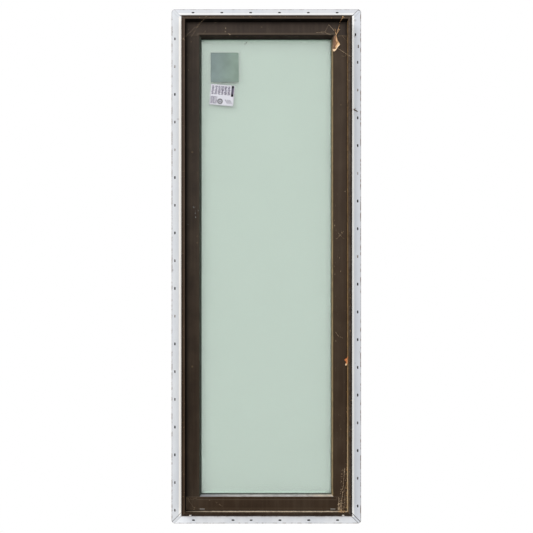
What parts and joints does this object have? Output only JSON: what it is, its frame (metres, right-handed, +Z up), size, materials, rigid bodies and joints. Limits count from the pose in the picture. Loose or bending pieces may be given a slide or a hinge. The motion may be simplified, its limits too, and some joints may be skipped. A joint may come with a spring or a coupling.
{
  "type": "fixed window",
  "caption": "Tall narrow fixed window: bronze frame and sash round double glazing, with a white slotted nail fin that fastens it over a wall opening.",
  "frame": {"origin": "on the nail fin's back face, at the middle of the frame's lower edge", "axes": "+Z up the window, +X to the right seen from outdoors, +Y indoors, into the wall"},
  "size_m": [0.676, 0.1, 1.834],
  "materials": {
    "bronze_frame": "satin",
    "bronze_flange": "satin",
    "bronze_sash": "satin",
    "bronze_bead": "satin",
    "bronze_stop": "satin",
    "white_fin": "satin",
    "black_seal": "matte",
    "black_gasket": "matte",
    "glass": "gloss",
    "spacer_metal": "satin",
    "edge_sealant": "matte",
    "weep_plastic": "satin",
    "label_paper": "matte",
    "label_film": "satin"
  },
  "bodies": {
    "root": {"frame_head": "bronze_frame", "frame_sill": "bronze_frame", "left_jamb": "bronze_frame", "right_jamb": "bronze_frame", "top_flange": "bronze_flange", "top_fin": "white_fin", "top_sash_seal": "black_seal", "top_glazing_bead": "bronze_bead", "top_outer_gasket": "black_gasket", "top_inner_gasket": "black_gasket", "top_glass_stop": "bronze_stop", "bottom_flange": "bronze_flange", "bottom_fin": "white_fin", "bottom_sash_seal": "black_seal", "bottom_glazing_bead": "bronze_bead", "bottom_outer_gasket": "black_gasket", "bottom_inner_gasket": "black_gasket", "bottom_glass_stop": "bronze_stop", "left_flange": "bronze_flange", "left_fin": "white_fin", "left_sash_seal": "black_seal", "left_glazing_bead": "bronze_bead", "left_outer_gasket": "black_gasket", "left_inner_gasket": "black_gasket", "left_glass_stop": "bronze_stop", "right_flange": "bronze_flange", "right_fin": "white_fin", "right_sash_seal": "black_seal", "right_glazing_bead": "bronze_bead", "right_outer_gasket": "black_gasket", "right_inner_gasket": "black_gasket", "right_glass_stop": "bronze_stop", "top_rail": "bronze_sash", "bottom_rail": "bronze_sash", "left_stile": "bronze_sash", "right_stile": "bronze_sash", "outer_pane": "glass", "inner_pane": "glass", "glass_spacer": "spacer_metal", "glass_edge_seal": "edge_sealant", "left_weep_cover": "weep_plastic", "right_weep_cover": "weep_plastic", "paper_label": "label_paper", "film_label": "label_film"}
  },
  "joints": []
}
